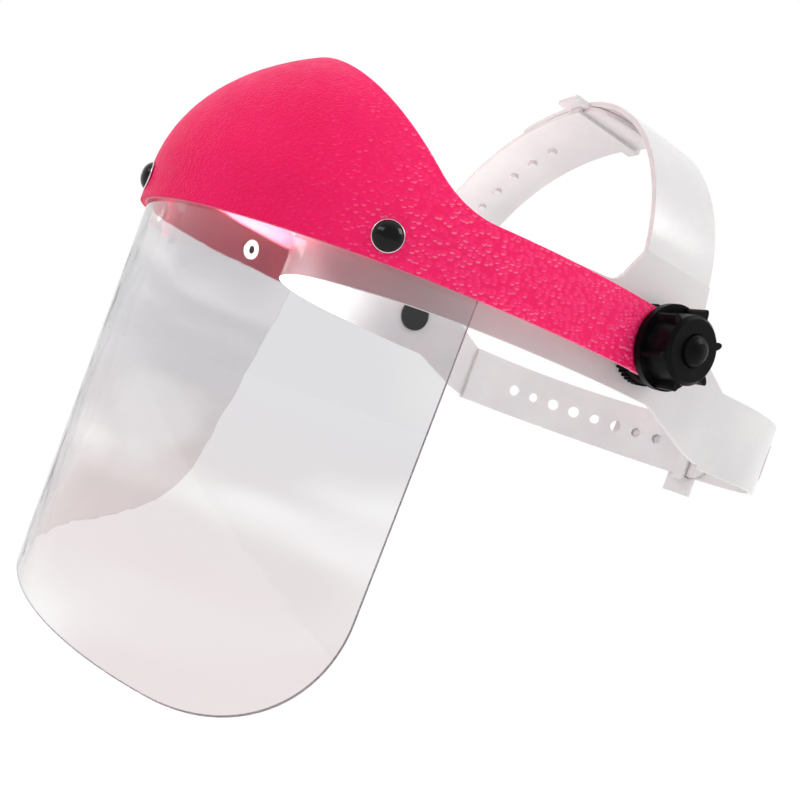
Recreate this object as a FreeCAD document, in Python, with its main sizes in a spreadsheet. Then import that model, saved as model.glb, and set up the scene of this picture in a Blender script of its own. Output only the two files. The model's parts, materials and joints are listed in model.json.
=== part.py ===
import FreeCAD, Part
import math
import os
import Sketcher

# Face shield: a moulded crown guard carries a bent clear visor on three snaps
# and swings on two knob-tightened pivots at the temples of a moulded harness
# (headband, crown strap, nape strap).
# Frame: origin on the pivot axis, +X wearer's left, -Y forwards, +Z up.

os.makedirs("parts", exist_ok=True)
doc = FreeCAD.newDocument("FaceShield")

# ---------------------------------------------------------------- dimensions
sheet = doc.addObject("Spreadsheet::Sheet", "Dimensions")
DIMENSIONS = [
    # harness
    ("head_half_width", 81.5),
    ("band_front", 96.0),
    ("band_front_radius", 78.0),
    ("band_wall", 1.8),
    ("band_top", 14.5),
    ("band_bottom", -15.4),
    ("band_back", 45.0),
    ("nape_top", -2.7),
    ("nape_bottom", -31.7),
    ("nape_centre", 56.0),
    ("strap_lap", 2.1),
    ("crown_front", -12.0),
    ("crown_back", 20.0),
    ("crown_foot", 28.0),
    ("crown_spring", 15.0),
    ("crown_apex", 14.0),
    ("crown_height", 92.5),
    ("crown_half_width", 82.0),
    # crown guard
    ("guard_half_width", 90.5),
    ("guard_length", 128.4),
    ("guard_centre", -23.6),
    ("guard_rise", 80.0),
    ("guard_wall", 2.3),
    ("guard_skirt", 11.0),
    ("arm_top", 10.5),
    ("arm_end_radius", 14.0),
    ("rim_sweep", 24.0),
    ("rim_start", -81.5),
    ("rim_lean", 40.0),
    # visor
    ("visor_wall", 1.0),
    ("visor_top", 4.0),
    ("visor_bottom", 139.5),
    ("visor_flare", 26.2),
    ("visor_edge_top", -65.7),
    ("visor_edge_bottom", -82.0),
    ("visor_corner", 40.0),
    ("visor_fit", 0.15),
    # pivot hardware
    ("bolt_radius", 3.0),
    ("bolt_head_radius", 8.1),
    ("bolt_head_height", 1.9),
    ("pivot_clearance", 0.35),
    ("spacer_radius", 13.6),
    ("pad_inner", 86.2),
    ("pad_outer", 90.5),
    ("pad_radius", 13.0),
    ("knob_flange_radius", 14.0),
    ("knob_flange", 2.4),
    ("knob_grip_radius", 11.3),
    ("knob_rib_radius", 13.6),
    ("knob_button_radius", 5.1),
    ("knob_start", 26.0),
    ("knob_height", 11.4),
    # snaps
    ("snap_y", -96.9),
    ("snap_z", -3.8),
    ("snap_cap_radius", 4.4),
    ("snap_post_radius", 1.9),
    ("snap_hole_radius", 2.1),
]
for row, (alias, value) in enumerate(DIMENSIONS, start=1):
    sheet.set("A%d" % row, alias)
    sheet.set("B%d" % row, str(value))
    sheet.setAlias("B%d" % row, alias)
doc.recompute()


def dim(alias):
    return float(sheet.get(alias))


def expr(text):
    # puts the sheet's name in front of every alias in an expression
    out = text
    for alias in sorted((a for a, _ in DIMENSIONS), key=len, reverse=True):
        out = out.replace("<%s>" % alias, "Dimensions.%s" % alias)
    return out


def bind(obj, **links):
    for prop, text in links.items():
        obj.setExpression(prop.replace("__", "."), expr(text))
    return obj


# ------------------------------------------------------------------- helpers
def add(kind, name, **links):
    return bind(doc.addObject(kind, name), **links)


def new_body(name):
    return doc.addObject("PartDesign::Body", name)


def sketch_on(body, name, role, along=None):
    sk = body.newObject("Sketcher::SketchObject", name)
    plane = [f for f in body.Origin.OriginFeatures if f.Role == role][0]
    sk.AttachmentSupport = [(plane, "")]
    sk.MapMode = "FlatFace"
    if along:
        sk.setExpression("AttachmentOffset.Base.z", expr(along))
    return sk


def hold(sk, kind, where, text):
    # a sketch dimension that follows an expression of the sheet
    start = value_of(doc.getObject("Probe"), text)
    i = sk.addConstraint(Sketcher.Constraint(kind, *where, start))
    sk.setExpression("Constraints[%d]" % i, expr(text))


def polygon(sk, corners):
    # closed outline of straight lines, each corner given by two expressions
    doc.recompute()
    probe = doc.getObject("Probe") or doc.addObject("App::FeaturePython", "Probe")
    spots = []
    for x, y in corners:
        spots.append(FreeCAD.Vector(value_of(probe, x), value_of(probe, y), 0))
    n = len(spots)
    for i in range(n):
        sk.addGeometry(Part.LineSegment(spots[i], spots[(i + 1) % n]), False)
    for i in range(n):
        sk.addConstraint(Sketcher.Constraint("Coincident", i, 2, (i + 1) % n, 1))
    for i, (x, y) in enumerate(corners):
        k = sk.addConstraint(Sketcher.Constraint("DistanceX", -1, 1, i, 1, spots[i].x))
        sk.setExpression("Constraints[%d]" % k, expr(x))
        k = sk.addConstraint(Sketcher.Constraint("DistanceY", -1, 1, i, 1, spots[i].y))
        sk.setExpression("Constraints[%d]" % k, expr(y))


def value_of(probe, text):
    value = probe.evalExpression(expr(text))
    return float(getattr(value, "Value", value))


def pad(body, sk, name, length, middle=False, reverse=False):
    feature = body.newObject("PartDesign::Pad", name)
    feature.Profile = sk
    feature.setExpression("Length", expr(length))
    feature.Midplane = middle
    feature.Reversed = reverse
    return feature


def revolve(body, sk, name, axis):
    feature = body.newObject("PartDesign::Revolution", name)
    feature.Profile = sk
    feature.ReferenceAxis = (sk, [axis])
    feature.Angle = 360.0
    return feature


def edges_at(shape, axis, spots, reach=0.6):
    # names of the straight edges parallel to axis that pass near the spots
    names = []
    for i, edge in enumerate(shape.Edges, start=1):
        if edge.Curve.TypeId != "Part::GeomLine":
            continue
        if abs(abs(edge.Curve.Direction.dot(axis)) - 1) > 1e-4:
            continue
        middle = edge.CenterOfMass
        for spot in spots:
            gap = spot - middle
            if (gap - axis * gap.dot(axis)).Length < reach:
                names.append("Edge%d" % i)
    return names


def round_edges(body, base, name, axis, spots, radius):
    doc.recompute()
    feature = body.newObject("PartDesign::Fillet", name)
    feature.Base = (base, edges_at(base.Shape, axis, spots))
    feature.setExpression("Radius", expr(radius))
    return feature


def cut(name, base, tool):
    feature = doc.addObject("Part::Cut", name)
    feature.Base = base
    feature.Tool = tool
    return feature


def fuse(name, *shapes):
    feature = doc.addObject("Part::MultiFuse", name)
    feature.Shapes = list(shapes)
    return feature


def common(name, *shapes):
    feature = doc.addObject("Part::MultiCommon", name)
    feature.Shapes = list(shapes)
    return feature


def mirrored(name, source):
    feature = doc.addObject("Part::Mirroring", name)
    feature.Source = source
    feature.Normal = FreeCAD.Vector(1, 0, 0)
    return feature


def turned(obj, axis, angle, base=None):
    obj.Placement = FreeCAD.Placement(base or FreeCAD.Vector(),
                                      FreeCAD.Rotation(axis, angle))
    return obj


X = FreeCAD.Vector(1, 0, 0)
Y = FreeCAD.Vector(0, 1, 0)
Z = FreeCAD.Vector(0, 0, 1)


def rod(name, radius, start, length, y="0", z="0"):
    # round bar along +X
    bar = add("Part::Cylinder", name, Radius=radius, Height=length)
    turned(bar, Y, 90)
    bind(bar, Placement__Base__x=start, Placement__Base__y=y, Placement__Base__z=z)
    return bar


def block(name, low, size):
    box = add("Part::Box", name, Length=size[0], Width=size[1], Height=size[2])
    bind(box, Placement__Base__x=low[0], Placement__Base__y=low[1],
         Placement__Base__z=low[2])
    return box


# --------------------------------------------------------------- crown guard
def dome(name, inset):
    # the upper half of an ellipsoid standing on an elliptical skirt
    cap = add("Part::Ellipsoid", name + "Cap",
              Radius1="<guard_rise> - " + inset,
              Radius2="<guard_half_width> - " + inset,
              Radius3="<guard_length> - " + inset)
    cap.Angle1 = 0
    cap.Angle2 = 90
    bind(cap, Placement__Base__y="<guard_centre>")
    rim = add("Part::Ellipse", name + "Rim",
              MajorRadius="<guard_length> - " + inset,
              MinorRadius="<guard_half_width> - " + inset)
    turned(rim, Z, 90)
    bind(rim, Placement__Base__y="<guard_centre>")
    skirt = add("Part::Extrusion", name + "Skirt", LengthRev="<guard_skirt>")
    skirt.Base = rim
    skirt.DirMode = "Custom"
    skirt.Dir = Z
    skirt.Solid = True
    skirt.LengthFwd = 0
    return fuse(name, cap, skirt)


guard_shell = cut("GuardShell", dome("GuardOuter", "0"), dome("GuardInner", "<guard_wall>"))

side = new_body("GuardSide")
sk = sketch_on(side, "GuardSideOutline", "YZ_Plane")
polygon(sk, [
    ("<guard_centre> - <guard_length> - 5", "-<guard_skirt>"),
    ("<arm_end_radius>", "-<guard_skirt>"),
    ("<arm_end_radius>", "<arm_top>"),
    ("<rim_start>", "<arm_top>"),
    ("<rim_start> - 90 * tan(<rim_lean> * 1 deg)", "<arm_top> + 90"),
    ("<guard_centre> - <guard_length> - 5", "<arm_top> + 90"),
])
block_pad = pad(side, sk, "GuardSideBlock", "2 * <guard_half_width> + 20", middle=True)
doc.recompute()
arm_sweep = round_edges(side, block_pad, "ArmSweep", X,
                        [FreeCAD.Vector(0, dim("rim_start"), dim("arm_top"))], "<rim_sweep>")
arm_end = [FreeCAD.Vector(0, dim("arm_end_radius"), dim("arm_top")),
           FreeCAD.Vector(0, dim("arm_end_radius"), -dim("guard_skirt"))]
side.Tip = round_edges(side, arm_sweep, "ArmEnd", X, arm_end, "<arm_top> - 0.5")

guard_trim = common("GuardTrim", guard_shell, side)
pads = rod("PadLeft", "<pad_radius>", "<pad_inner>", "<pad_outer> - <pad_inner>")
pad_pair = fuse("Pads", pads, mirrored("PadRight", pads))
pad_trim = common("PadTrim", pad_pair, side)
guard_plain = fuse("GuardPlain", guard_trim, pad_trim)

# the snap stations: two at the sides square to the wall, one at the front
snap_y = dim("snap_y") - dim("guard_centre")
wall_x = dim("guard_half_width") * math.sqrt(1 - (snap_y / dim("guard_length")) ** 2)
side_turn = math.degrees(math.atan2(snap_y / dim("guard_length") ** 2,
                                    wall_x / dim("guard_half_width") ** 2))
STATIONS = {
    "left": ("<guard_half_width> * sqrt(1 - ((<snap_y> - <guard_centre>) / "
             "<guard_length>)^2)", "<snap_y>", side_turn),
    "right": ("-<guard_half_width> * sqrt(1 - ((<snap_y> - <guard_centre>) / "
              "<guard_length>)^2)", "<snap_y>", 180 - side_turn),
    "front": ("0", "<guard_centre> - <guard_length>", -90.0),
}


def at_station(obj, where):
    x, y, angle = STATIONS[where]
    turned(obj, Z, angle)
    return bind(obj, Placement__Base__x=x, Placement__Base__y=y,
                Placement__Base__z="<snap_z>")


def snap_holes(name):
    drills = []
    for where in STATIONS:
        drill = add("Part::Cylinder", "%s_%s" % (name, where),
                    Radius="<snap_hole_radius>")
        drill.Height = 12
        x, y, angle = STATIONS[where]
        outward = FreeCAD.Rotation(Z, angle).multVec(X)
        drill.Placement = FreeCAD.Placement(
            FreeCAD.Vector(), FreeCAD.Rotation(Z, outward))
        half = outward * 6
        bind(drill, Placement__Base__x="%s - (%.6f)" % (x, half.x),
             Placement__Base__y="%s - (%.6f)" % (y, half.y),
             Placement__Base__z="<snap_z>")
        drills.append(drill)
    return drills


# flat seats for the friction discs on the inner face of both arms
seat = rod("DiscSeat", "<pad_radius> + 2", "<pad_inner> - 8", "8")
pivot_hole = rod("PivotHole", "<bolt_radius> + <pivot_clearance>",
                 "-<guard_half_width> - 10", "2 * <guard_half_width> + 20")
crown_guard = cut("crown_guard", guard_plain,
                  fuse("GuardHoles", pivot_hole, seat, mirrored("DiscSeatRight", seat),
                       *snap_holes("GuardDrill")))


# --------------------------------------------------------------------- visor
def visor_cone(name, inset):
    # two ruled lofts: a straight collar inside the guard, flared below it
    rings = []
    levels = [("<visor_top> + 2", "0"), ("-<guard_skirt>", "0"),
              ("-<visor_bottom> - 8", "<visor_flare> * (<visor_bottom> + 8 - <guard_skirt>)"
               " / (<visor_bottom> - <guard_skirt>)")]
    for i, (level, flare) in enumerate(levels):
        ring = add("Part::Ellipse", "%s%d" % (name, i),
                   MajorRadius="<guard_length> - <guard_wall> - <visor_fit> - " + inset,
                   MinorRadius="<guard_half_width> - <guard_wall> - <visor_fit> - %s + %s"
                   % (inset, flare))
        turned(ring, Z, 90)
        bind(ring, Placement__Base__y="<guard_centre>", Placement__Base__z=level)
        rings.append(ring)
    cone = doc.addObject("Part::Loft", name)
    cone.Sections = rings
    cone.Solid = True
    cone.Ruled = True
    return cone


visor_sheet = cut("VisorSheet", visor_cone("VisorOuter", "0"),
                  visor_cone("VisorInner", "<visor_wall>"))
front = new_body("VisorSide")
sk = sketch_on(front, "VisorSideOutline", "YZ_Plane")
polygon(sk, [
    ("<guard_centre> - <guard_length> - 5", "-<visor_bottom>"),
    ("<visor_edge_bottom>", "-<visor_bottom>"),
    ("<visor_edge_top>", "<visor_top>"),
    ("<guard_centre> - <guard_length> - 5", "<visor_top>"),
])
visor_pad = pad(front, sk, "VisorSideBlock", "3 * <guard_half_width>", middle=True)
chin = round_edges(front, visor_pad, "ChinCorner", X,
                   [FreeCAD.Vector(0, dim("visor_edge_bottom"), -dim("visor_bottom"))],
                   "<visor_corner>")
front.Tip = round_edges(front, chin, "TopCorner", X,
                        [FreeCAD.Vector(0, dim("visor_edge_top"), dim("visor_top"))], "4")
visor_blank = common("VisorBlank", visor_sheet, front)
visor = cut("visor", visor_blank, fuse("VisorHoles", *snap_holes("VisorDrill")))


# --------------------------------------------------------------------- snaps
# each profile is drawn with x out of the wall and y as the radius
def snap_cap(name):
    # domed disc with a rolled edge on a post
    body = new_body(name)
    sk = sketch_on(body, name + "Profile", "XY_Plane")
    r = dim("snap_cap_radius")
    edge = 0.7
    crown = 2.5
    middle = FreeCAD.Vector(edge + 0.75 * (crown - edge), 0.62 * r, 0)
    dome = Part.Arc(FreeCAD.Vector(crown, 0, 0), middle, FreeCAD.Vector(edge, r, 0))
    corners = [(edge, r), (0, r), (0, dim("snap_post_radius")),
               (-3.9, dim("snap_post_radius")), (-3.9, 0), (crown, 0)]
    sk.addGeometry(dome, False)
    for (x0, y0), (x1, y1) in zip(corners, corners[1:]):
        sk.addGeometry(Part.LineSegment(FreeCAD.Vector(x0, y0, 0), FreeCAD.Vector(x1, y1, 0)),
                       False)
    for i in range(1, len(corners) - 1):
        sk.addConstraint(Sketcher.Constraint("Coincident", i, 2, i + 1, 1))
    first, last = (2, 1) if dome.StartPoint.y < 1 else (1, 2)
    sk.addConstraint(Sketcher.Constraint("Coincident", 0, first, 1, 1))
    sk.addConstraint(Sketcher.Constraint("Coincident", len(corners) - 1, 2, 0, last))
    hold(sk, "DistanceY", (-1, 1, 1, 1), "<snap_cap_radius>")
    hold(sk, "DistanceY", (-1, 1, 3, 1), "<snap_post_radius>")
    body.Tip = revolve(body, sk, name + "Turn", "H_Axis")
    return body


def snap_ring(name):
    body = new_body(name)
    sk = sketch_on(body, name + "Profile", "XY_Plane")
    face = "-<guard_wall> - <visor_fit> - <visor_wall> - 0.12"
    polygon(sk, [(face, "<snap_post_radius>"), (face, "<snap_cap_radius>"),
                 (face + " - 0.7", "<snap_cap_radius>"),
                 (face + " - 1.4", "<snap_cap_radius> - 0.9"),
                 (face + " - 1.4", "<snap_post_radius> + 0.7"),
                 (face + " - 0.9", "<snap_post_radius>")])
    body.Tip = revolve(body, sk, name + "Turn", "H_Axis")
    return body


snaps = []
for where in ("front", "left", "right"):
    snaps.append(at_station(snap_cap("snap_cap_" + where), where))
    snaps.append(at_station(snap_ring("snap_ring_" + where), where))


# ------------------------------------------------------------------ headband
def band_plan(name, inset):
    # outline seen from above: front arc, two temple arcs, straight sides
    body = new_body(name)
    sk = sketch_on(body, name + "Outline", "XY_Plane", "<nape_bottom> - 5")
    width = dim("head_half_width") - inset
    r1 = dim("band_front_radius") - inset
    y1 = dim("band_front_radius") - dim("band_front")
    r2 = ((width ** 2 + y1 ** 2 - r1 ** 2) / (2 * (width - r1)))
    x2 = width - r2
    back = dim("band_back")
    join = math.atan2(y1, -x2)
    front_centre = FreeCAD.Vector(0, y1, 0)
    right_centre = FreeCAD.Vector(x2, 0, 0)
    left_centre = FreeCAD.Vector(-x2, 0, 0)
    sk.addGeometry(Part.ArcOfCircle(Part.Circle(front_centre, Z, r1),
                                    math.pi - join, 2 * math.pi + join), False)
    sk.addGeometry(Part.ArcOfCircle(Part.Circle(right_centre, Z, r2), join, 0), False)
    sk.addGeometry(Part.LineSegment(FreeCAD.Vector(width, 0, 0),
                                    FreeCAD.Vector(width, back, 0)), False)
    sk.addGeometry(Part.LineSegment(FreeCAD.Vector(width, back, 0),
                                    FreeCAD.Vector(-width, back, 0)), False)
    sk.addGeometry(Part.LineSegment(FreeCAD.Vector(-width, back, 0),
                                    FreeCAD.Vector(-width, 0, 0)), False)
    sk.addGeometry(Part.ArcOfCircle(Part.Circle(left_centre, Z, r2),
                                    math.pi, math.pi - join), False)
    C = Sketcher.Constraint
    for rule in (C("Tangent", 0, 2, 1, 1), C("Tangent", 1, 2, 2, 1),
                 C("Coincident", 2, 2, 3, 1), C("Coincident", 3, 2, 4, 1),
                 C("Tangent", 4, 2, 5, 1), C("Tangent", 5, 2, 0, 1),
                 C("Vertical", 2), C("Vertical", 4), C("Horizontal", 3),
                 C("PointOnObject", 0, 3, -2)):
        sk.addConstraint(rule)
    for kind, where, text in (
            ("Radius", (0,), "<band_front_radius> - %s" % inset),
            ("DistanceY", (-1, 1, 0, 3), "<band_front_radius> - <band_front>"),
            ("DistanceX", (-1, 1, 2, 1), "<head_half_width> - %s" % inset),
            ("DistanceX", (-1, 1, 4, 1), "%s - <head_half_width>" % inset),
            ("DistanceY", (-1, 1, 2, 2), "<band_back>"),
            ("DistanceY", (-1, 1, 2, 1), "0")):
        start = value_of(doc.getObject("Probe"), text)
        i = sk.addConstraint(C(kind, *where, start))
        sk.setExpression("Constraints[%d]" % i, expr(text))
    body.Tip = pad(body, sk, name + "Height", "<crown_foot> - <nape_bottom> + 10")
    return body


band_ring = cut("BandRing", band_plan("BandOuter", 0), band_plan("BandInner", dim("band_wall")))
profile = new_body("BandSide")
sk = sketch_on(profile, "BandSideOutline", "YZ_Plane")
polygon(sk, [
    ("-<band_front> - 5", "<band_bottom>"),
    ("12", "<band_bottom> - 2.6"),
    ("<band_back> - 10", "<nape_bottom> + 4"),
    ("<band_back>", "<nape_bottom> + 1.2"),
    ("<band_back>", "<nape_top>"),
    ("<crown_back> + 4", "<band_top> - 6"),
    ("<crown_back>", "<crown_foot>"),
    ("<crown_front>", "<crown_foot>"),
    ("<crown_front> - 7", "<band_top>"),
    ("-<band_front> - 5", "<band_top>"),
])
band_pad = pad(profile, sk, "BandSideBlock", "2 * <head_half_width> + 20", middle=True)
profile.Tip = round_edges(profile, band_pad, "BandFillets", X, [
    FreeCAD.Vector(0, 12, dim("band_bottom") - 2.6),
    FreeCAD.Vector(0, dim("crown_back") + 4, dim("band_top") - 6),
    FreeCAD.Vector(0, dim("crown_front") - 7, dim("band_top")),
], "7")
bolt_holes = rod("BandHole", "<bolt_radius> + 0.1", "-<head_half_width> - 10",
                 "2 * <head_half_width> + 20")
head_seat = rod("BoltSeat", "<bolt_head_radius> + 0.2",
                "<band_wall> - <head_half_width>", "2 * (<head_half_width> - <band_wall>)")
headband = cut("headband", common("BandBlank", band_ring, profile),
               fuse("BandHoles", bolt_holes, head_seat))


def soften(name, base, spots, radius, reach=1.6):
    # rounds the short straight edges nearest the spots, such as a strap's corners
    doc.recompute()
    picked = []
    for i, edge in enumerate(base.Shape.Edges, start=1):
        straight = edge.Curve.TypeId == "Part::GeomLine" and edge.Length < 4
        if straight and any((edge.CenterOfMass - s).Length < reach for s in spots):
            picked.append((i, radius, radius))
    if len(picked) != len(spots):
        raise RuntimeError("%s found %d edges" % (name, len(picked)))
    feature = doc.addObject("Part::Fillet", name)
    feature.Base = base
    feature.Edges = picked
    return feature


def nape_spots(radius, angle):
    # middles of the wall at the strap's end, at its lower and upper edge
    r = radius - dim("band_wall") / 2
    t = math.radians(angle)
    return [FreeCAD.Vector(r * math.cos(t), dim("nape_centre") + r * math.sin(t), z)
            for z in (dim("nape_bottom"), dim("nape_top"))]


# --------------------------------------------------------------- nape straps
def half_drum(name, radius, height_low, height_high):
    # a drum about the nape's centre
    drum = add("Part::Cylinder", name, Radius=radius,
               Height="(%s) - (%s)" % (height_high, height_low))
    bind(drum, Placement__Base__y="<nape_centre>", Placement__Base__z=height_low)
    return drum


def nape_run(name, radius, side_sign, sweep):
    # strap wall: a straight run from the band's end, then an arc round the nape
    wall = cut(name + "Drum",
               half_drum(name + "DrumOut", radius, "<nape_bottom>", "<nape_top>"),
               half_drum(name + "DrumIn", radius + " - <band_wall>",
                         "<nape_bottom>", "<nape_top>"))
    wedge = add("Part::Cylinder", name + "Wedge", Height="100")
    wedge.Radius = 150
    wedge.Angle = sweep
    turned(wedge, Z, 0 if side_sign > 0 else 180 - sweep)
    bind(wedge, Placement__Base__y="<nape_centre>", Placement__Base__z="-70")
    arc = common(name + "Arc", wall, wedge)
    outer = radius if side_sign > 0 else "-(%s)" % radius
    low_x = "%s - <band_wall>" % outer if side_sign > 0 else outer
    run = block(name + "Run", (low_x, "<band_back>", "<nape_bottom>"),
                ("<band_wall>", "<nape_centre> - <band_back>",
                 "<nape_top> - <nape_bottom>"))
    return fuse(name + "Wall", arc, run)


def radial(name, kind, angle, start, z, **links):
    # a tool that points outwards from the nape's centre at the given angle
    tool = add(kind, name, **links)
    outward = FreeCAD.Rotation(Z, angle).multVec(X)
    tool.Placement = FreeCAD.Placement(FreeCAD.Vector(), FreeCAD.Rotation(Z, outward))
    bind(tool, Placement__Base__x="(%s) * %.6f" % (start, outward.x),
         Placement__Base__y="<nape_centre> + (%s) * %.6f" % (start, outward.y),
         Placement__Base__z=z)
    return tool


NAPE_MIDDLE = "(<nape_top> + <nape_bottom>) / 2"
OUTER = "<head_half_width>"
INNER = "<head_half_width> - <strap_lap>"
LEFT_SWEEP = 121.0
RIGHT_SWEEP = 106.0
KEEPER_ANGLE = 84.0
BADGE_ANGLE = 38.0

nape_left_wall = nape_run("NapeLeft", OUTER, 1, LEFT_SWEEP)
# keeper: two posts above and below with a bridge inside, and the pull tab
keeper_wedge = add("Part::Cylinder", "KeeperWedge", Height="100")
keeper_wedge.Radius = 150
keeper_wedge.Angle = 5.0
turned(keeper_wedge, Z, KEEPER_ANGLE)
bind(keeper_wedge, Placement__Base__y="<nape_centre>", Placement__Base__z="-70")
keeper_drum = cut("KeeperDrum",
                  half_drum("KeeperOut", OUTER, "<nape_bottom> - 2.4", "<nape_top> + 2.4"),
                  half_drum("KeeperIn", OUTER + " - 6.2", "<nape_bottom> - 2.4",
                            "<nape_top> + 2.4"))
keeper_slot = cut("KeeperSlot",
                  half_drum("KeeperSlotOut", OUTER + " - <band_wall> + 0.1",
                            "<nape_bottom> - 0.4", "<nape_top> + 0.4"),
                  half_drum("KeeperSlotIn", OUTER + " - 4.7", "<nape_bottom> - 0.4",
                            "<nape_top> + 0.4"))
keeper = common("Keeper", cut("KeeperRing", keeper_drum, keeper_slot), keeper_wedge)
tab_wedge = add("Part::Cylinder", "TabWedge", Height="100")
tab_wedge.Radius = 150
tab_wedge.Angle = 11.5
turned(tab_wedge, Z, KEEPER_ANGLE - 2)
bind(tab_wedge, Placement__Base__y="<nape_centre>", Placement__Base__z="-70")
tab_drum = cut("TabDrum",
               half_drum("TabOut", OUTER, "<nape_bottom> - 9.5", "<nape_bottom> + 1"),
               half_drum("TabIn", OUTER + " - <band_wall>", "<nape_bottom> - 9.5",
                         "<nape_bottom> + 1"))
tab = common("Tab", tab_drum, tab_wedge)
# plain raised ring where such straps carry a moulded badge
badge_out = radial("BadgeOut", "Part::Cylinder", BADGE_ANGLE, OUTER + " - 1", NAPE_MIDDLE,
                   Radius="8.2", Height="4")
badge_in = radial("BadgeIn", "Part::Cylinder", BADGE_ANGLE, OUTER + " - 1", NAPE_MIDDLE,
                  Radius="7.2", Height="4")
badge_skin = cut("BadgeSkin",
                 half_drum("BadgeSkinOut", OUTER + " + 0.35", "<nape_bottom>", "<nape_top>"),
                 half_drum("BadgeSkinIn", OUTER + " - 0.5", "<nape_bottom>", "<nape_top>"))
badge = common("Badge", cut("BadgeTube", badge_out, badge_in), badge_skin)
nape_left_soft = soften("NapeLeftEnd", nape_left_wall,
                        nape_spots(dim("head_half_width"), LEFT_SWEEP), 3.5)
nape_strap_left = fuse("nape_strap_left", nape_left_soft, keeper, tab, badge)

nape_right_wall = nape_run("NapeRight", INNER, -1, RIGHT_SWEEP)
# step that joins the lapped strap to the end of the band
step = block("NapeStep", ("-<head_half_width>", "<band_back>", "<nape_bottom>"),
             ("<strap_lap> + <band_wall>", "4", "<nape_top> - <nape_bottom>"))
holes = []
for i in range(8):
    drill = radial("AdjustHole%d" % i, "Part::Cylinder", 165.5 - 9.0 * i,
                   OUTER + " - 8", NAPE_MIDDLE,
                   Radius="3.1" if i in (0, 2, 3, 5) else "2.6")
    drill.Height = 12
    holes.append(drill)
nape_right_soft = soften("NapeRightEnd", nape_right_wall,
                         nape_spots(dim("head_half_width") - dim("strap_lap"),
                                    180 - RIGHT_SWEEP), 13.5)
nape_strap_right = cut("nape_strap_right", fuse("NapeRightBlank", nape_right_soft, step),
                       fuse("AdjustHoles", *holes))


# -------------------------------------------------------------- crown straps
def arch(name, lift, near):
    # quarter of an elliptical hoop: near spans to +X, far spans to -X
    reach = "(<crown_half_width> - <crown_apex>)" if near else \
        "(<crown_half_width> + <crown_apex>)"
    rise = "(<crown_height> - <crown_spring>)"
    hoops = []
    for tag, inset in (("Out", lift), ("In", "%s - <band_wall>" % lift)):
        # the wider radius of an ellipse object is always its major one
        ring = add("Part::Ellipse", name + tag)
        span = "%s + %s" % (reach, "0" if tag == "Out" else "0 - <band_wall>")
        high = "%s + %s" % (rise, inset)
        wide = value_of(doc.getObject("Probe"), span)
        tall = value_of(doc.getObject("Probe"), high)
        if wide >= tall:
            bind(ring, MajorRadius=span, MinorRadius=high)
            ring.Placement = FreeCAD.Placement(FreeCAD.Vector(), FreeCAD.Rotation(X, 90))
        else:
            bind(ring, MajorRadius=high, MinorRadius=span)
            ring.Placement = FreeCAD.Placement(
                FreeCAD.Vector(), FreeCAD.Rotation(X, 90).multiply(FreeCAD.Rotation(Z, 90)))
        bind(ring, Placement__Base__x="<crown_apex>", Placement__Base__y="<crown_front>",
             Placement__Base__z="<crown_spring>")
        hoop = add("Part::Extrusion", name + tag + "Run",
                   LengthFwd="<crown_back> - <crown_front>")
        hoop.Base = ring
        hoop.DirMode = "Custom"
        hoop.Dir = Y
        hoop.Solid = True
        hoops.append(hoop)
    return cut(name + "Hoop", hoops[0], hoops[1])


def crown_side(name, lift, near, low_x, high_x):
    window = block(name + "Window", (low_x, "<crown_front> - 20", "<crown_foot>"),
                   ("(%s) - (%s)" % (high_x, low_x), "100", "150"))
    return common(name + "Side", arch(name, lift, near), window)


doc.recompute()
crown_near = crown_side("CrownNear", "0", True, "<crown_apex>", "120")
crown_over = crown_side("CrownOver", "0", False, "-21", "<crown_apex>")


def crown_spots(shape_end_x, lift, near):
    # middles of the strap's end face edges, front and back
    reach = dim("crown_half_width") - dim("crown_apex") * (1 if near else -1)
    rise = dim("crown_height") - dim("crown_spring") + lift - dim("band_wall") / 2
    ratio = (shape_end_x - dim("crown_apex")) / (reach - dim("band_wall") / 2)
    z = dim("crown_spring") + rise * math.sqrt(1 - ratio ** 2)
    return [FreeCAD.Vector(shape_end_x, dim(edge), z) for edge in ("crown_front", "crown_back")]


crown_over_soft = soften("CrownOverEnd", crown_over, crown_spots(-21, 0, False), 3.5)
keeper_low = "<crown_height> - 5.6"
bridge = block("CrownBridge", ("<crown_apex>", "<crown_front> - 2", keeper_low),
               ("6", "<crown_back> - <crown_front> + 4", "1.4"))
posts = [block("CrownPost%d" % i, ("<crown_apex>", y, keeper_low), ("6", "1.6", "5.4"))
         for i, y in enumerate(("<crown_front> - 2", "<crown_back> + 0.4"))]
lips = [block("CrownLip%d" % i, ("<crown_apex>", y, "<crown_height> - 1.8"),
              ("6", "2.6", "1.6"))
        for i, y in enumerate(("<crown_front> - 2", "<crown_back> - 0.6"))]
crown_tab = block("CrownTab", ("<crown_apex> - 2", "<crown_front> - 7.5", "<crown_height> - 3.2"),
                  ("11", "8", "1.6"))
crown_strap_left = fuse("crown_strap_left", crown_near, crown_over_soft, bridge, crown_tab,
                        *(posts + lips))

crown_far = crown_side("CrownFar", "0 - <strap_lap>", False, "-120", "<crown_apex>")
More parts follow.
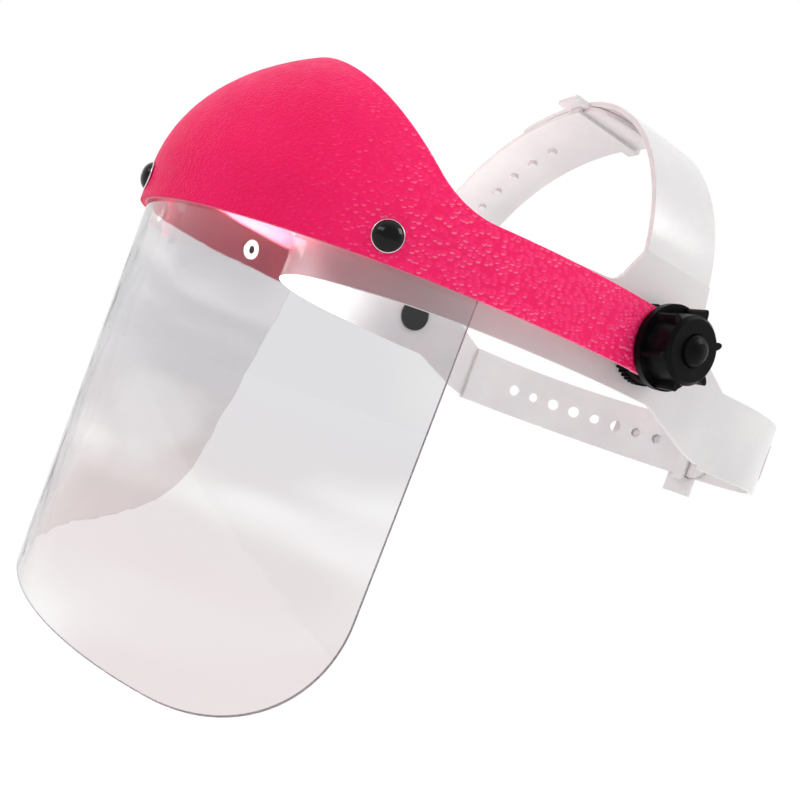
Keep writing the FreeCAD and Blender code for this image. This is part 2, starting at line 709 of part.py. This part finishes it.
# the tail runs on under the left strap and ends in a half round
half_strap = "(<crown_back> - <crown_front>) / 2"
tail_round = add("Part::Cylinder", "TailRound", Radius=half_strap, Height="150")
bind(tail_round, Placement__Base__x="<crown_apex> + 8",
     Placement__Base__y="(<crown_back> + <crown_front>) / 2",
     Placement__Base__z="<crown_foot>")
tail_window = block("TailWindow", ("<crown_apex>", "<crown_front>", "<crown_foot>"),
                    ("8", "<crown_back> - <crown_front>", "150"))
tail_shape = common("TailShape", fuse("TailForm", tail_window, tail_round),
                    block("TailBound", ("<crown_apex>", "<crown_front> - 5", "<crown_foot>"),
                          ("60", "<crown_back> - <crown_front> + 10", "150")))
crown_tail = common("CrownTailEnd", arch("CrownTail", "0 - <strap_lap>", True), tail_shape)
studs = []
for i in range(5):
    t = math.radians(141.0 - 8.2 * i)
    reach = dim("crown_half_width") + dim("crown_apex")
    rise = dim("crown_height") - dim("crown_spring") - dim("strap_lap")
    # a domed stud stands on the inner face, square to the strap
    inward = FreeCAD.Vector(-math.cos(t) / reach, 0, -math.sin(t) / rise).normalize()
    stud = add("Part::Cone", "Stud%d" % i, Radius1="2.6", Radius2="1.6", Height="2.4")
    stud.Placement = FreeCAD.Placement(
        FreeCAD.Vector(dim("crown_apex") + (reach - 1.0) * math.cos(t), 4.0,
                       dim("crown_spring") + (rise - 1.0) * math.sin(t)),
        FreeCAD.Rotation(Z, inward))
    studs.append(stud)
crown_strap_right = fuse("crown_strap_right", crown_far, crown_tail, *studs)


# ------------------------------------------------------------ pivot hardware
def bolt(name):
    body = new_body(name)
    sk = sketch_on(body, name + "Profile", "XY_Plane")
    inner = "<head_half_width> - <band_wall>"
    end = "<pad_outer> + <knob_height> - 3.4"
    polygon(sk, [(inner + " - <bolt_head_height>", "0"),
                 (inner + " - <bolt_head_height>", "<bolt_head_radius> - 0.8"),
                 (inner + " - <bolt_head_height> + 0.8", "<bolt_head_radius>"),
                 (inner, "<bolt_head_radius>"), (inner, "<bolt_radius>"),
                 (end + " - 0.6", "<bolt_radius>"), (end, "<bolt_radius> - 0.6"), (end, "0")])
    body.Tip = revolve(body, sk, name + "Turn", "H_Axis")
    return body


def polar(body, feature, name, count):
    pattern = body.newObject("PartDesign::PolarPattern", name)
    pattern.Originals = [feature]
    axis = [f for f in body.Origin.OriginFeatures if f.Role == "X_Axis"][0]
    pattern.Axis = (axis, [""])
    pattern.Angle = 360
    pattern.Occurrences = count
    return pattern


def spacer(name):
    # friction disc with a serrated edge, free on the bolt
    body = new_body(name)
    sk = sketch_on(body, name + "Profile", "XY_Plane")
    low = "<head_half_width> + 0.05"
    high = "<pad_inner> - 0.3"
    polygon(sk, [(low, "<bolt_radius> + 0.1"), (low, "<spacer_radius> - 0.7"),
                 (high + " - 1.2", "<spacer_radius> - 0.7"), (high, "<spacer_radius> - 1.6"),
                 (high, "<bolt_radius> + 0.1")])
    disc = revolve(body, sk, name + "Turn", "H_Axis")
    teeth = sketch_on(body, name + "Tooth", "YZ_Plane", low)
    polygon(teeth, [("<spacer_radius> - 1.2", "-0.65"), ("<spacer_radius>", "-0.2"),
                    ("<spacer_radius>", "0.2"), ("<spacer_radius> - 1.2", "0.65")])
    tooth = pad(body, teeth, name + "ToothPad", "%s - 1.2 - (%s)" % (high, low))
    body.Tip = polar(body, tooth, name + "Teeth", 45)
    return body


def knob(name):
    body = new_body(name)
    sk = sketch_on(body, name + "Profile", "XY_Plane")
    low = "<pad_outer> + 0.3"
    bore = "<bolt_radius> + <pivot_clearance>"
    cap = "<pad_outer> + <knob_height>"
    polygon(sk, [(low, bore), (low, "<knob_flange_radius>"),
                 (low + " + <knob_flange>", "<knob_flange_radius>"),
                 (low + " + <knob_flange>", "<knob_grip_radius>"),
                 (cap + " - 1.1", "<knob_grip_radius> - 0.3"),
                 (cap, "<knob_grip_radius> - 1.5"),
                 (cap, "<knob_button_radius> + 0.3"), (cap + " - 0.4", "<knob_button_radius>"),
                 (cap + " + 0.8", "<knob_button_radius> - 0.2"),
                 (cap + " + 1.8", "<knob_button_radius> * 0.8"),
                 (cap + " + 2.5", "<knob_button_radius> * 0.5"),
                 (cap + " + 2.8", "<knob_button_radius> * 0.2"), (cap + " + 2.85", "0"),
                 (cap + " - 2.6", "0"), (cap + " - 2.6", bore)])
    turn = revolve(body, sk, name + "Turn", "H_Axis")
    ribs = sketch_on(body, name + "Rib", "YZ_Plane", low + " + <knob_flange> - 0.5")
    ribs.setExpression("AttachmentOffset.Rotation.Angle", expr("<knob_start> * 1 deg"))
    polygon(ribs, [("<knob_grip_radius> - 1.6", "-1.7"), ("<knob_rib_radius> - 0.9", "-1.0"),
                   ("<knob_rib_radius>", "-0.4"), ("<knob_rib_radius>", "0.4"),
                   ("<knob_rib_radius> - 0.9", "1.0"), ("<knob_grip_radius> - 1.6", "1.7")])
    rib = pad(body, ribs, name + "RibPad", "<knob_height> - <knob_flange> - 1.0")
    body.Tip = polar(body, rib, name + "Ribs", 6)
    return body


nodes = [crown_guard, visor] + snaps + [headband, nape_strap_left, nape_strap_right,
                                        crown_strap_left, crown_strap_right]
for make, name in ((bolt, "pivot_bolt"), (spacer, "friction_spacer"), (knob, "knob")):
    left = make(name + "_left")
    nodes.append(left)
    nodes.append(mirrored(name + "_right", left))

# ------------------------------------------------------------ check and write
doc.recompute()
for obj in doc.Objects:
    if "Invalid" in obj.State or "Error" in obj.State:
        raise RuntimeError("%s did not build: %s" % (obj.Name, obj.State))
for obj in nodes:
    obj.Label = obj.Name
    if obj.Shape.isNull() or not obj.Shape.isValid():
        raise RuntimeError("%s has no valid shape" % obj.Name)
    if len(obj.Shape.Solids) != 1:
        raise RuntimeError("%s holds %d solids" % (obj.Name, len(obj.Shape.Solids)))
    obj.Shape.exportStep("parts/%s.step" % obj.Name)
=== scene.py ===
import bpy
import bmesh
import json
import math
from mathutils import Matrix, Vector


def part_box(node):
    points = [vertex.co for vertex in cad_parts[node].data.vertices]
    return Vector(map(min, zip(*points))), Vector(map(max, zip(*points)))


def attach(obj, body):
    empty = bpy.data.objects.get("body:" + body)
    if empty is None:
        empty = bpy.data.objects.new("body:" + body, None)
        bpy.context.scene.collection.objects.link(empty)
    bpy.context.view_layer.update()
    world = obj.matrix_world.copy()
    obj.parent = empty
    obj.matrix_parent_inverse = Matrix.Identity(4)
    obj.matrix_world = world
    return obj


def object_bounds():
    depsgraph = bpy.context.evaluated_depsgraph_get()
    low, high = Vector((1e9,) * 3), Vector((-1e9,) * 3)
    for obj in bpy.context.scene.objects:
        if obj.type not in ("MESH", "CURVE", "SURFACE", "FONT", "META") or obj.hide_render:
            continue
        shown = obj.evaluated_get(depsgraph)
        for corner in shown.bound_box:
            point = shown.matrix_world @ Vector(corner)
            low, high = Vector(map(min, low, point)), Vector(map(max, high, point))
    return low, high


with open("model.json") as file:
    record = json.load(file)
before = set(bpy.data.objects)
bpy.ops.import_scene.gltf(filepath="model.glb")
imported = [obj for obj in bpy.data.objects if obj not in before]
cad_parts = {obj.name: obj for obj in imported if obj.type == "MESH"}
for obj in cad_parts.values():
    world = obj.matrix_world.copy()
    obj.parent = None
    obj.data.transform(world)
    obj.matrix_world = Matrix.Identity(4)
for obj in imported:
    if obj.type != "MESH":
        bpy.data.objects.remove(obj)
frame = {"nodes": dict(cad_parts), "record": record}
cad_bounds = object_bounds()
nodes = frame["nodes"]

MM = 0.001

# The guard's form: an ellipsoid on an elliptical skirt. Its centre and rise are the part's own
# dimensions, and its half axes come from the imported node's box.
guard_low, guard_high = (Vector(c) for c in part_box("crown_guard"))
GUARD_HALF_WIDTH = guard_high.x
GUARD_CENTRE_Y = -23.6 * MM
GUARD_LENGTH = GUARD_CENTRE_Y - guard_low.y
GUARD_RISE = 80.0 * MM

# Where the bowl's fine grain starts to coarsen, and where the arms' full grain is reached
GRAIN_FINE_Y = -125.0 * MM
GRAIN_COARSE_Y = -75.0 * MM
# Pebbles of the leather grain per metre
ARM_PEBBLES = 640.0
BOWL_PEBBLES = 1000.0


# ------------------------------------------------------------ node materials
class Mat:
    """A small helper for building one procedural material."""

    def __init__(self, name):
        self.mat = bpy.data.materials.new(name)
        self.mat.use_nodes = True
        self.tree = self.mat.node_tree
        self.bsdf = self.tree.nodes["Principled BSDF"]
        self.where = self.add("ShaderNodeTexCoord").outputs["Object"]

    def add(self, kind, **settings):
        node = self.tree.nodes.new(kind)
        for key, value in settings.items():
            setattr(node, key, value)
        return node

    def link(self, out, socket):
        self.tree.links.new(out, socket)

    def feed(self, socket, value):
        if isinstance(value, bpy.types.NodeSocket):
            self.link(value, socket)
        else:
            socket.default_value = value

    def math(self, operation, a, b=0.0):
        node = self.add("ShaderNodeMath", operation=operation)
        self.feed(node.inputs[0], a)
        self.feed(node.inputs[1], b)
        return node.outputs[0]

    def product(self, *factors):
        total = factors[0]
        for factor in factors[1:]:
            total = self.math("MULTIPLY", total, factor)
        return total

    def axes(self):
        node = self.add("ShaderNodeSeparateXYZ")
        self.link(self.where, node.inputs[0])
        return node.outputs

    def noise(self, scale, detail=3.0, roughness=0.5, vector=None, distortion=0.0):
        node = self.add("ShaderNodeTexNoise")
        self.link(vector or self.where, node.inputs["Vector"])
        node.inputs["Scale"].default_value = scale
        node.inputs["Detail"].default_value = detail
        node.inputs["Roughness"].default_value = roughness
        node.inputs["Distortion"].default_value = distortion
        return node.outputs["Fac"]

    def voronoi(self, scale, vector=None):
        node = self.add("ShaderNodeTexVoronoi", feature="F1")
        self.link(vector or self.where, node.inputs["Vector"])
        node.inputs["Scale"].default_value = scale
        return node.outputs["Distance"]

    def pebbles(self, cell):
        """Turn the distance from each cell's middle into rounded bumps."""
        return self.remap(cell, 0.15, 0.75, 1.0, 0.0)

    def remap(self, value, low, high, to_low=0.0, to_high=1.0):
        node = self.add("ShaderNodeMapRange", interpolation_type="SMOOTHSTEP")
        self.feed(node.inputs["Value"], value)
        for key, number in (("From Min", low), ("From Max", high),
                            ("To Min", to_low), ("To Max", to_high)):
            node.inputs[key].default_value = number
        return node.outputs["Result"]

    def blend(self, factor, a, b):
        node = self.add("ShaderNodeMix", data_type="RGBA")
        self.feed(node.inputs["Factor"], factor)
        self.feed(node.inputs["A"], a)
        self.feed(node.inputs["B"], b)
        return node.outputs["Result"]

    def stretch(self, x, y, z):
        node = self.add("ShaderNodeMapping")
        self.link(self.where, node.inputs["Vector"])
        node.inputs["Scale"].default_value = (x, y, z)
        return node.outputs["Vector"]

    def shift(self, vector, x, y, z):
        node = self.add("ShaderNodeVectorMath", operation="ADD")
        self.link(vector, node.inputs[0])
        node.inputs[1].default_value = (x, y, z)
        return node.outputs[0]

    def bump(self, height, strength, distance, after=None):
        node = self.add("ShaderNodeBump")
        node.inputs["Strength"].default_value = strength
        node.inputs["Distance"].default_value = distance
        self.link(height, node.inputs["Height"])
        if after:
            self.link(after, node.inputs["Normal"])
        return node.outputs["Normal"]

    def set(self, **sockets):
        for key, value in sockets.items():
            self.feed(self.bsdf.inputs[key.replace("_", " ")], value)
        return self.mat


def rgb(r, g, b):
    return (r, g, b, 1.0)


def guard_material():
    """Pink moulding: leather grain outside, coarser on the arms, smooth inside."""
    m = Mat("guard_pink")
    x, y, z = m.axes()
    # 1 on the outer face, 0 on the inner one
    across = m.math("POWER", m.math("DIVIDE", x, GUARD_HALF_WIDTH), 2.0)
    back = m.math("SUBTRACT", y, GUARD_CENTRE_Y)
    along = m.math("POWER", m.math("DIVIDE", back, GUARD_LENGTH), 2.0)
    over = m.math("POWER", m.math("DIVIDE", m.math("MAXIMUM", z, 0.0), GUARD_RISE), 2.0)
    outside = m.remap(m.math("ADD", m.math("ADD", across, along), over), 0.965, 0.985)
    # 0 on the bowl, 1 on the arms
    arm = m.remap(y, GRAIN_FINE_Y, GRAIN_COARSE_Y)
    bowl = m.math("SUBTRACT", 1.0, arm)
    coarse_at = m.stretch(1.0, 0.8, 1.0)
    cell = m.voronoi(ARM_PEBBLES, coarse_at)
    coarse = m.pebbles(cell)
    fine = m.pebbles(m.voronoi(BOWL_PEBBLES))
    wrinkle = m.noise(1500.0, 2.0)
    leather = m.math("ADD", m.product(coarse, arm), m.product(fine, 0.4, bowl))
    grain = m.product(m.math("ADD", leather, m.product(wrinkle, 0.15)), outside)
    normal = m.bump(grain, 0.65, 0.0006)
    # a painted highlight on the upper rim of each pebble, from the slope between two near
    # look-ups
    higher = m.pebbles(m.voronoi(ARM_PEBBLES, m.shift(coarse_at, 0.0, 0.0001, -0.0003)))
    rise = m.remap(m.math("SUBTRACT", coarse, higher), 0.20, 0.40)
    patchy = m.remap(m.noise(120.0, 2.0), 0.35, 0.6, 0.25, 1.0)
    amount = m.math("ADD", m.product(arm, 0.62), 0.03)
    painted_rim_highlight = m.product(m.product(rise, patchy), m.product(amount, outside))
    # painted shade in the creases between the arms' pebbles
    crease_shade = m.product(m.remap(cell, 0.42, 0.75), m.product(arm, 0.40))
    tone = m.noise(18.0, 4.0)
    colour = m.blend(m.remap(tone, 0.3, 0.75), rgb(0.75, 0.003, 0.090), rgb(0.84, 0.006, 0.120))
    # the arms are painted a brighter pink, a painted highlight where the light falls on them
    colour = m.blend(m.product(arm, 0.9), colour, rgb(0.99, 0.026, 0.175))
    # a darker pink in the creases between pebbles, painted shade
    colour = m.blend(crease_shade, colour, rgb(0.72, 0.004, 0.075))
    # painted highlight: a paler pink on the upper rim of each pebble
    colour = m.blend(painted_rim_highlight, colour, rgb(1.0, 0.28, 0.38))
    # the inner face is painted a paler pink, painted light standing in for the light that comes
    # through the moulding
    colour = m.blend(outside, rgb(1.0, 0.23, 0.32), colour)
    rough = m.math("SUBTRACT", m.remap(m.noise(260.0, 3.0), 0.25, 0.8, 0.42, 0.56),
                   m.product(painted_rim_highlight, 0.2))
    return m.set(Base_Color=colour, Roughness=rough, Normal=normal, Subsurface_Weight=0.35,
                 Subsurface_Scale=0.006, Subsurface_Radius=(1.0, 0.25, 0.3), IOR=1.45,
                 Specular_IOR_Level=0.14)


def visor_material():
    """Clear polished sheet with a faint grey tint and a frosted lilac cut edge."""
    m = Mat("visor_clear")
    x, y, z = m.axes()
    # the cut edge is where the face doesn't look along the bent sheet's own outward normal
    face = m.add("ShaderNodeNewGeometry").outputs["True Normal"]
    out = m.add("ShaderNodeCombineXYZ")
    m.link(m.math("DIVIDE", x, GUARD_HALF_WIDTH ** 2), out.inputs[0])
    m.link(m.math("DIVIDE", m.math("SUBTRACT", y, GUARD_CENTRE_Y), GUARD_LENGTH ** 2),
           out.inputs[1])
    unit = m.add("ShaderNodeVectorMath", operation="NORMALIZE")
    m.link(out.outputs[0], unit.inputs[0])
    dot = m.add("ShaderNodeVectorMath", operation="DOT_PRODUCT")
    m.link(unit.outputs[0], dot.inputs[0])
    m.link(face, dot.inputs[1])
    edge = m.remap(m.math("ABSOLUTE", dot.outputs["Value"]), 0.45, 0.75, 1.0, 0.0)
    # soft streaks of painted reflection, a pinker lower end, and more tint where the sheet is
    # seen edge-on
    reflection_streaks = m.noise(6.5, 2.0, 0.45, vector=m.stretch(1.0, 1.0, 2.4), distortion=1.0)
    low = m.remap(z, -0.115, -0.050, 1.0, 0.0)
    sheet = m.blend(low, rgb(0.765, 0.755, 0.77), rgb(0.79, 0.725, 0.725))
    # pale streaks painted on the sheet, a painted reflection of the lamps
    sheet = m.blend(m.remap(reflection_streaks, 0.44, 0.64), sheet, rgb(0.93, 0.92, 0.92))
    glance = m.add("ShaderNodeLayerWeight")
    glance.inputs["Blend"].default_value = 0.35
    sheet = m.blend(m.remap(glance.outputs["Facing"], 0.50, 0.88), sheet, rgb(0.30, 0.29, 0.32))
    colour = m.blend(edge, sheet, rgb(0.60, 0.57, 0.66))
    rough = m.remap(m.noise(60.0, 4.0), 0.3, 0.8, 0.015, 0.05)
    rough = m.math("ADD", rough, m.product(edge, 0.35))
    clear = m.math("SUBTRACT", 1.0, m.product(edge, 0.8))
    normal = m.bump(m.noise(6.0, 0.0), 0.02, 0.001)
    return m.set(Base_Color=colour, Roughness=rough, Normal=normal, Transmission_Weight=clear,
                 IOR=1.49)


def strap_material():
    """Milky soft plastic, with light scattered under a slightly uneven, shiny skin."""
    m = Mat("strap_milky")
    cloud = m.noise(22.0, 4.0, 0.6)
    fine = m.noise(300.0, 2.0)
    colour = m.blend(m.remap(cloud, 0.3, 0.7), rgb(0.665, 0.65, 0.66), rgb(0.74, 0.725, 0.725))
    rough = m.remap(fine, 0.3, 0.75, 0.17, 0.25)
    ripple = m.bump(m.noise(34.0, 0.0), 0.22, 0.0010)
    normal = m.bump(m.noise(700.0, 1.0), 0.03, 0.0001, after=ripple)
    return m.set(Base_Color=colour, Roughness=rough, Normal=normal, Subsurface_Weight=0.15,
                 Subsurface_Scale=0.002, IOR=1.5)


def black_material():
    """Satin black moulding with a fine texture and greyer handled spots."""
    m = Mat("black_plastic")
    fine = m.noise(900.0, 3.0)
    wear = m.remap(m.noise(70.0, 4.0, 0.65), 0.55, 0.8)
    colour = m.blend(wear, rgb(0.003, 0.003, 0.0035), rgb(0.010, 0.009, 0.010))
    rough = m.remap(m.noise(160.0, 4.0), 0.3, 0.75, 0.28, 0.44)
    return m.set(Base_Color=colour, Roughness=rough, Normal=m.bump(fine, 0.18, 0.0002), IOR=1.5,
                 Specular_IOR_Level=0.07)


def snap_material():
    """Glossy black lacquer with a little dust."""
    m = Mat("snap_black")
    dust = m.remap(m.noise(1300.0, 2.0), 0.62, 0.8)
    colour = m.blend(dust, rgb(0.002, 0.002, 0.002), rgb(0.015, 0.013, 0.014))
    rough = m.remap(m.noise(300.0, 3.0), 0.3, 0.8, 0.06, 0.16)
    return m.set(Base_Color=colour, Roughness=rough, IOR=1.5, Specular_IOR_Level=0.18,
                 Coat_Weight=0.1, Coat_Roughness=0.04)


def cream_material():
    """Cream enamelled ring."""
    m = Mat("snap_white")
    tone = m.noise(500.0, 3.0)
    colour = m.blend(tone, rgb(0.55, 0.50, 0.43), rgb(0.68, 0.64, 0.56))
    rough = m.remap(m.noise(800.0, 2.0), 0.3, 0.8, 0.25, 0.4)
    return m.set(Base_Color=colour, Roughness=rough, IOR=1.5)


def metal_material():
    """Bright rolled rim of a snap cap."""
    m = Mat("rim_metal")
    streak = m.noise(700.0, 3.0)
    colour = m.blend(streak, rgb(0.62, 0.60, 0.58), rgb(0.80, 0.79, 0.77))
    rough = m.remap(m.noise(400.0, 3.0), 0.3, 0.8, 0.18, 0.32)
    return m.set(Base_Color=colour, Roughness=rough, Metallic=1.0)


FINISH = {
    "guard_pink": guard_material(),
    "visor_clear": visor_material(),
    "strap_milky": strap_material(),
    "black_plastic": black_material(),
    "snap_black": snap_material(),
    "snap_white": cream_material(),
}
rim_metal = metal_material()
for part in frame["record"]["subparts"]:
    obj = nodes[part["node"]]
    if not obj.material_slots:
        obj.data.materials.append(None)
    for place in obj.material_slots:
        place.link = "OBJECT"
        place.material = FINISH[part["material_slot"]]


# --------------------------------------------------------------- snap rims
def lathe(name, profile, steps, place, material, body):
    """A turned ring about its own X axis, from (along, radius) pairs in metres."""
    mesh = bpy.data.meshes.new(name)
    bm = bmesh.new()
    rings = []
    for i in range(steps):
        t = 2 * math.pi * i / steps
        rings.append([bm.verts.new((u, r * math.cos(t), r * math.sin(t))) for u, r in profile])
    n = len(profile)
    for i in range(steps):
        for j in range(n):
            bm.faces.new((rings[i][j], rings[i][(j + 1) % n],
                          rings[(i + 1) % steps][(j + 1) % n], rings[(i + 1) % steps][j]))
    bmesh.ops.recalc_face_normals(bm, faces=bm.faces)
    bm.to_mesh(mesh)
    bm.free()
    for face in mesh.polygons:
        face.use_smooth = True
    obj = bpy.data.objects.new(name, mesh)
    bpy.context.collection.objects.link(obj)
    obj.matrix_world = place
    mesh.materials.append(material)
    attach(obj, body)
    return obj


# Each snap cap wears a thin rolled rim, which stands on the guard's skirt
SNAP_Y = -96.9 * MM
SNAP_Z = -3.8 * MM
RIM_INNER = 4.35 * MM
RIM_OUTER = 4.75 * MM
RIM_THICK = 0.55 * MM
RIM_ROUND = 0.15 * MM
RIM_LIFT = 0.02 * MM
RIM_STEPS = 72
reach_y = (SNAP_Y - GUARD_CENTRE_Y) / GUARD_LENGTH
wall_x = GUARD_HALF_WIDTH * math.sqrt(1 - reach_y ** 2)
side_turn = math.atan2(reach_y / GUARD_LENGTH, wall_x / GUARD_HALF_WIDTH ** 2)
STATIONS = {"left": (wall_x, SNAP_Y, side_turn),
            "right": (-wall_x, SNAP_Y, math.pi - side_turn),
            "front": (0.0, GUARD_CENTRE_Y - GUARD_LENGTH, -math.pi / 2)}
rim_profile = [(RIM_LIFT, RIM_INNER), (RIM_LIFT, RIM_OUTER - 0.1 * MM),
               (RIM_ROUND, RIM_OUTER), (RIM_THICK - RIM_ROUND, RIM_OUTER),
               (RIM_THICK, RIM_OUTER - RIM_ROUND), (RIM_THICK, RIM_INNER)]
for where, (sx, sy, angle) in STATIONS.items():
    place = Matrix.Translation((sx, sy, SNAP_Z)) @ Matrix.Rotation(angle, 4, "Z")
    lathe("snap_rim_" + where, rim_profile, RIM_STEPS, place, rim_metal, "guard")


# ------------------------------------------------------------ stage and light
FLOOR_DROP = 0.16
FLOOR_SIZE = 12.0
floor_z = cad_bounds[0][2] - FLOOR_DROP
bpy.ops.mesh.primitive_plane_add(size=FLOOR_SIZE, location=(0.0, 0.0, floor_z))
floor = bpy.context.object
floor.name = "floor"
floor_mat = bpy.data.materials.new("floor_white")
floor_mat.use_nodes = True
floor_bsdf = floor_mat.node_tree.nodes["Principled BSDF"]
# part reflection, part glow, so that the floor meets the white backdrop with no line
floor_bsdf.inputs["Base Color"].default_value = rgb(0.30, 0.30, 0.30)
floor_bsdf.inputs["Roughness"].default_value = 0.9
floor_bsdf.inputs["Emission Color"].default_value = rgb(1.0, 1.0, 1.0)
floor_bsdf.inputs["Emission Strength"].default_value = 0.70
floor.data.materials.append(floor_mat)

# A white studio: full white at the backdrop, dimmer towards the opposite side
BACKDROP_WAY = (-0.8756, 0.4830, 0.15)
world = bpy.data.worlds.new("soft_white")
bpy.context.scene.world = world
world.use_nodes = True
sky = world.node_tree
ray = sky.nodes.new("ShaderNodeTexCoord")
toward = sky.nodes.new("ShaderNodeVectorMath")
toward.operation = "DOT_PRODUCT"
toward.inputs[1].default_value = BACKDROP_WAY
sky.links.new(ray.outputs["Generated"], toward.inputs[0])
ramp = sky.nodes.new("ShaderNodeMapRange")
ramp.interpolation_type = "SMOOTHSTEP"
for key, number in (("From Min", -0.9), ("From Max", 0.35), ("To Min", 0.55), ("To Max", 1.0)):
    ramp.inputs[key].default_value = number
sky.links.new(toward.outputs["Value"], ramp.inputs["Value"])
sky.nodes["Background"].inputs["Color"].default_value = rgb(1.0, 1.0, 1.0)
sky.links.new(ramp.outputs["Result"], sky.nodes["Background"].inputs["Strength"])


def softbox(name, where, target, size, watts):
    """A rectangular lamp aimed at a point, unseen by the camera itself."""
    data = bpy.data.lights.new(name, "AREA")
    data.shape = "RECTANGLE"
    data.size, data.size_y = size
    data.energy = watts
    lamp = bpy.data.objects.new(name, data)
    lamp.location = where
    lamp.rotation_euler = (Vector(target) - Vector(where)).to_track_quat("-Z", "Y").to_euler()
    lamp.visible_camera = False
    bpy.context.collection.objects.link(lamp)
    return lamp


middle = (Vector(cad_bounds[0]) + Vector(cad_bounds[1])) / 2
softbox("key", (0.55, 0.45, 0.80), middle, (0.45, 0.45), 3.6)
softbox("front", (0.25, -0.95, 0.45), middle, (0.7, 0.25), 2.0)
# Two small lamps inside the visor stand for the light that comes through the pink moulding
BOUNCE_SIZE = (0.06, 0.06)
front_y = guard_low.y
rim_z = guard_low.z
for name, lamp_at, aim, watts, spread in (
        ("bounce_up", (-0.01, front_y + 0.075, rim_z - 0.10), (-0.05, front_y + 0.05, 0.02),
         0.12, 80.0),
        ("bounce_side", (0.03, front_y + 0.06, rim_z - 0.05), (-0.078, front_y + 0.06, 0.005),
         0.10, 50.0)):
    lamp = softbox(name, lamp_at, aim, BOUNCE_SIZE, watts)
    lamp.data.spread = math.radians(spread)
    lamp.visible_transmission = False
    lamp.visible_glossy = False

# --------------------------------------------------------------------- camera
CAMERA_AT = Vector((0.25386, -0.17485, -0.04494))
CAMERA_YAW = math.radians(28.88)
CAMERA_ROLL = math.radians(20.0)
CAMERA_LENS = 31.93
forward = Vector((-math.cos(CAMERA_YAW), math.sin(CAMERA_YAW), 0.0))
level = forward.cross(Vector((0.0, 0.0, 1.0)))
right = level * math.cos(CAMERA_ROLL) + Vector((0.0, 0.0, math.sin(CAMERA_ROLL)))
up = right.cross(forward)
lens = bpy.data.cameras.new("camera")
lens.lens = CAMERA_LENS
lens.sensor_width = 36.0
lens.clip_start = 0.01
camera = bpy.data.objects.new("camera", lens)
bpy.context.collection.objects.link(camera)
turn = Matrix((right, up, -forward)).transposed().to_4x4()
camera.matrix_world = Matrix.Translation(CAMERA_AT) @ turn
bpy.context.scene.camera = camera
bpy.context.scene.view_settings.view_transform = "Standard"
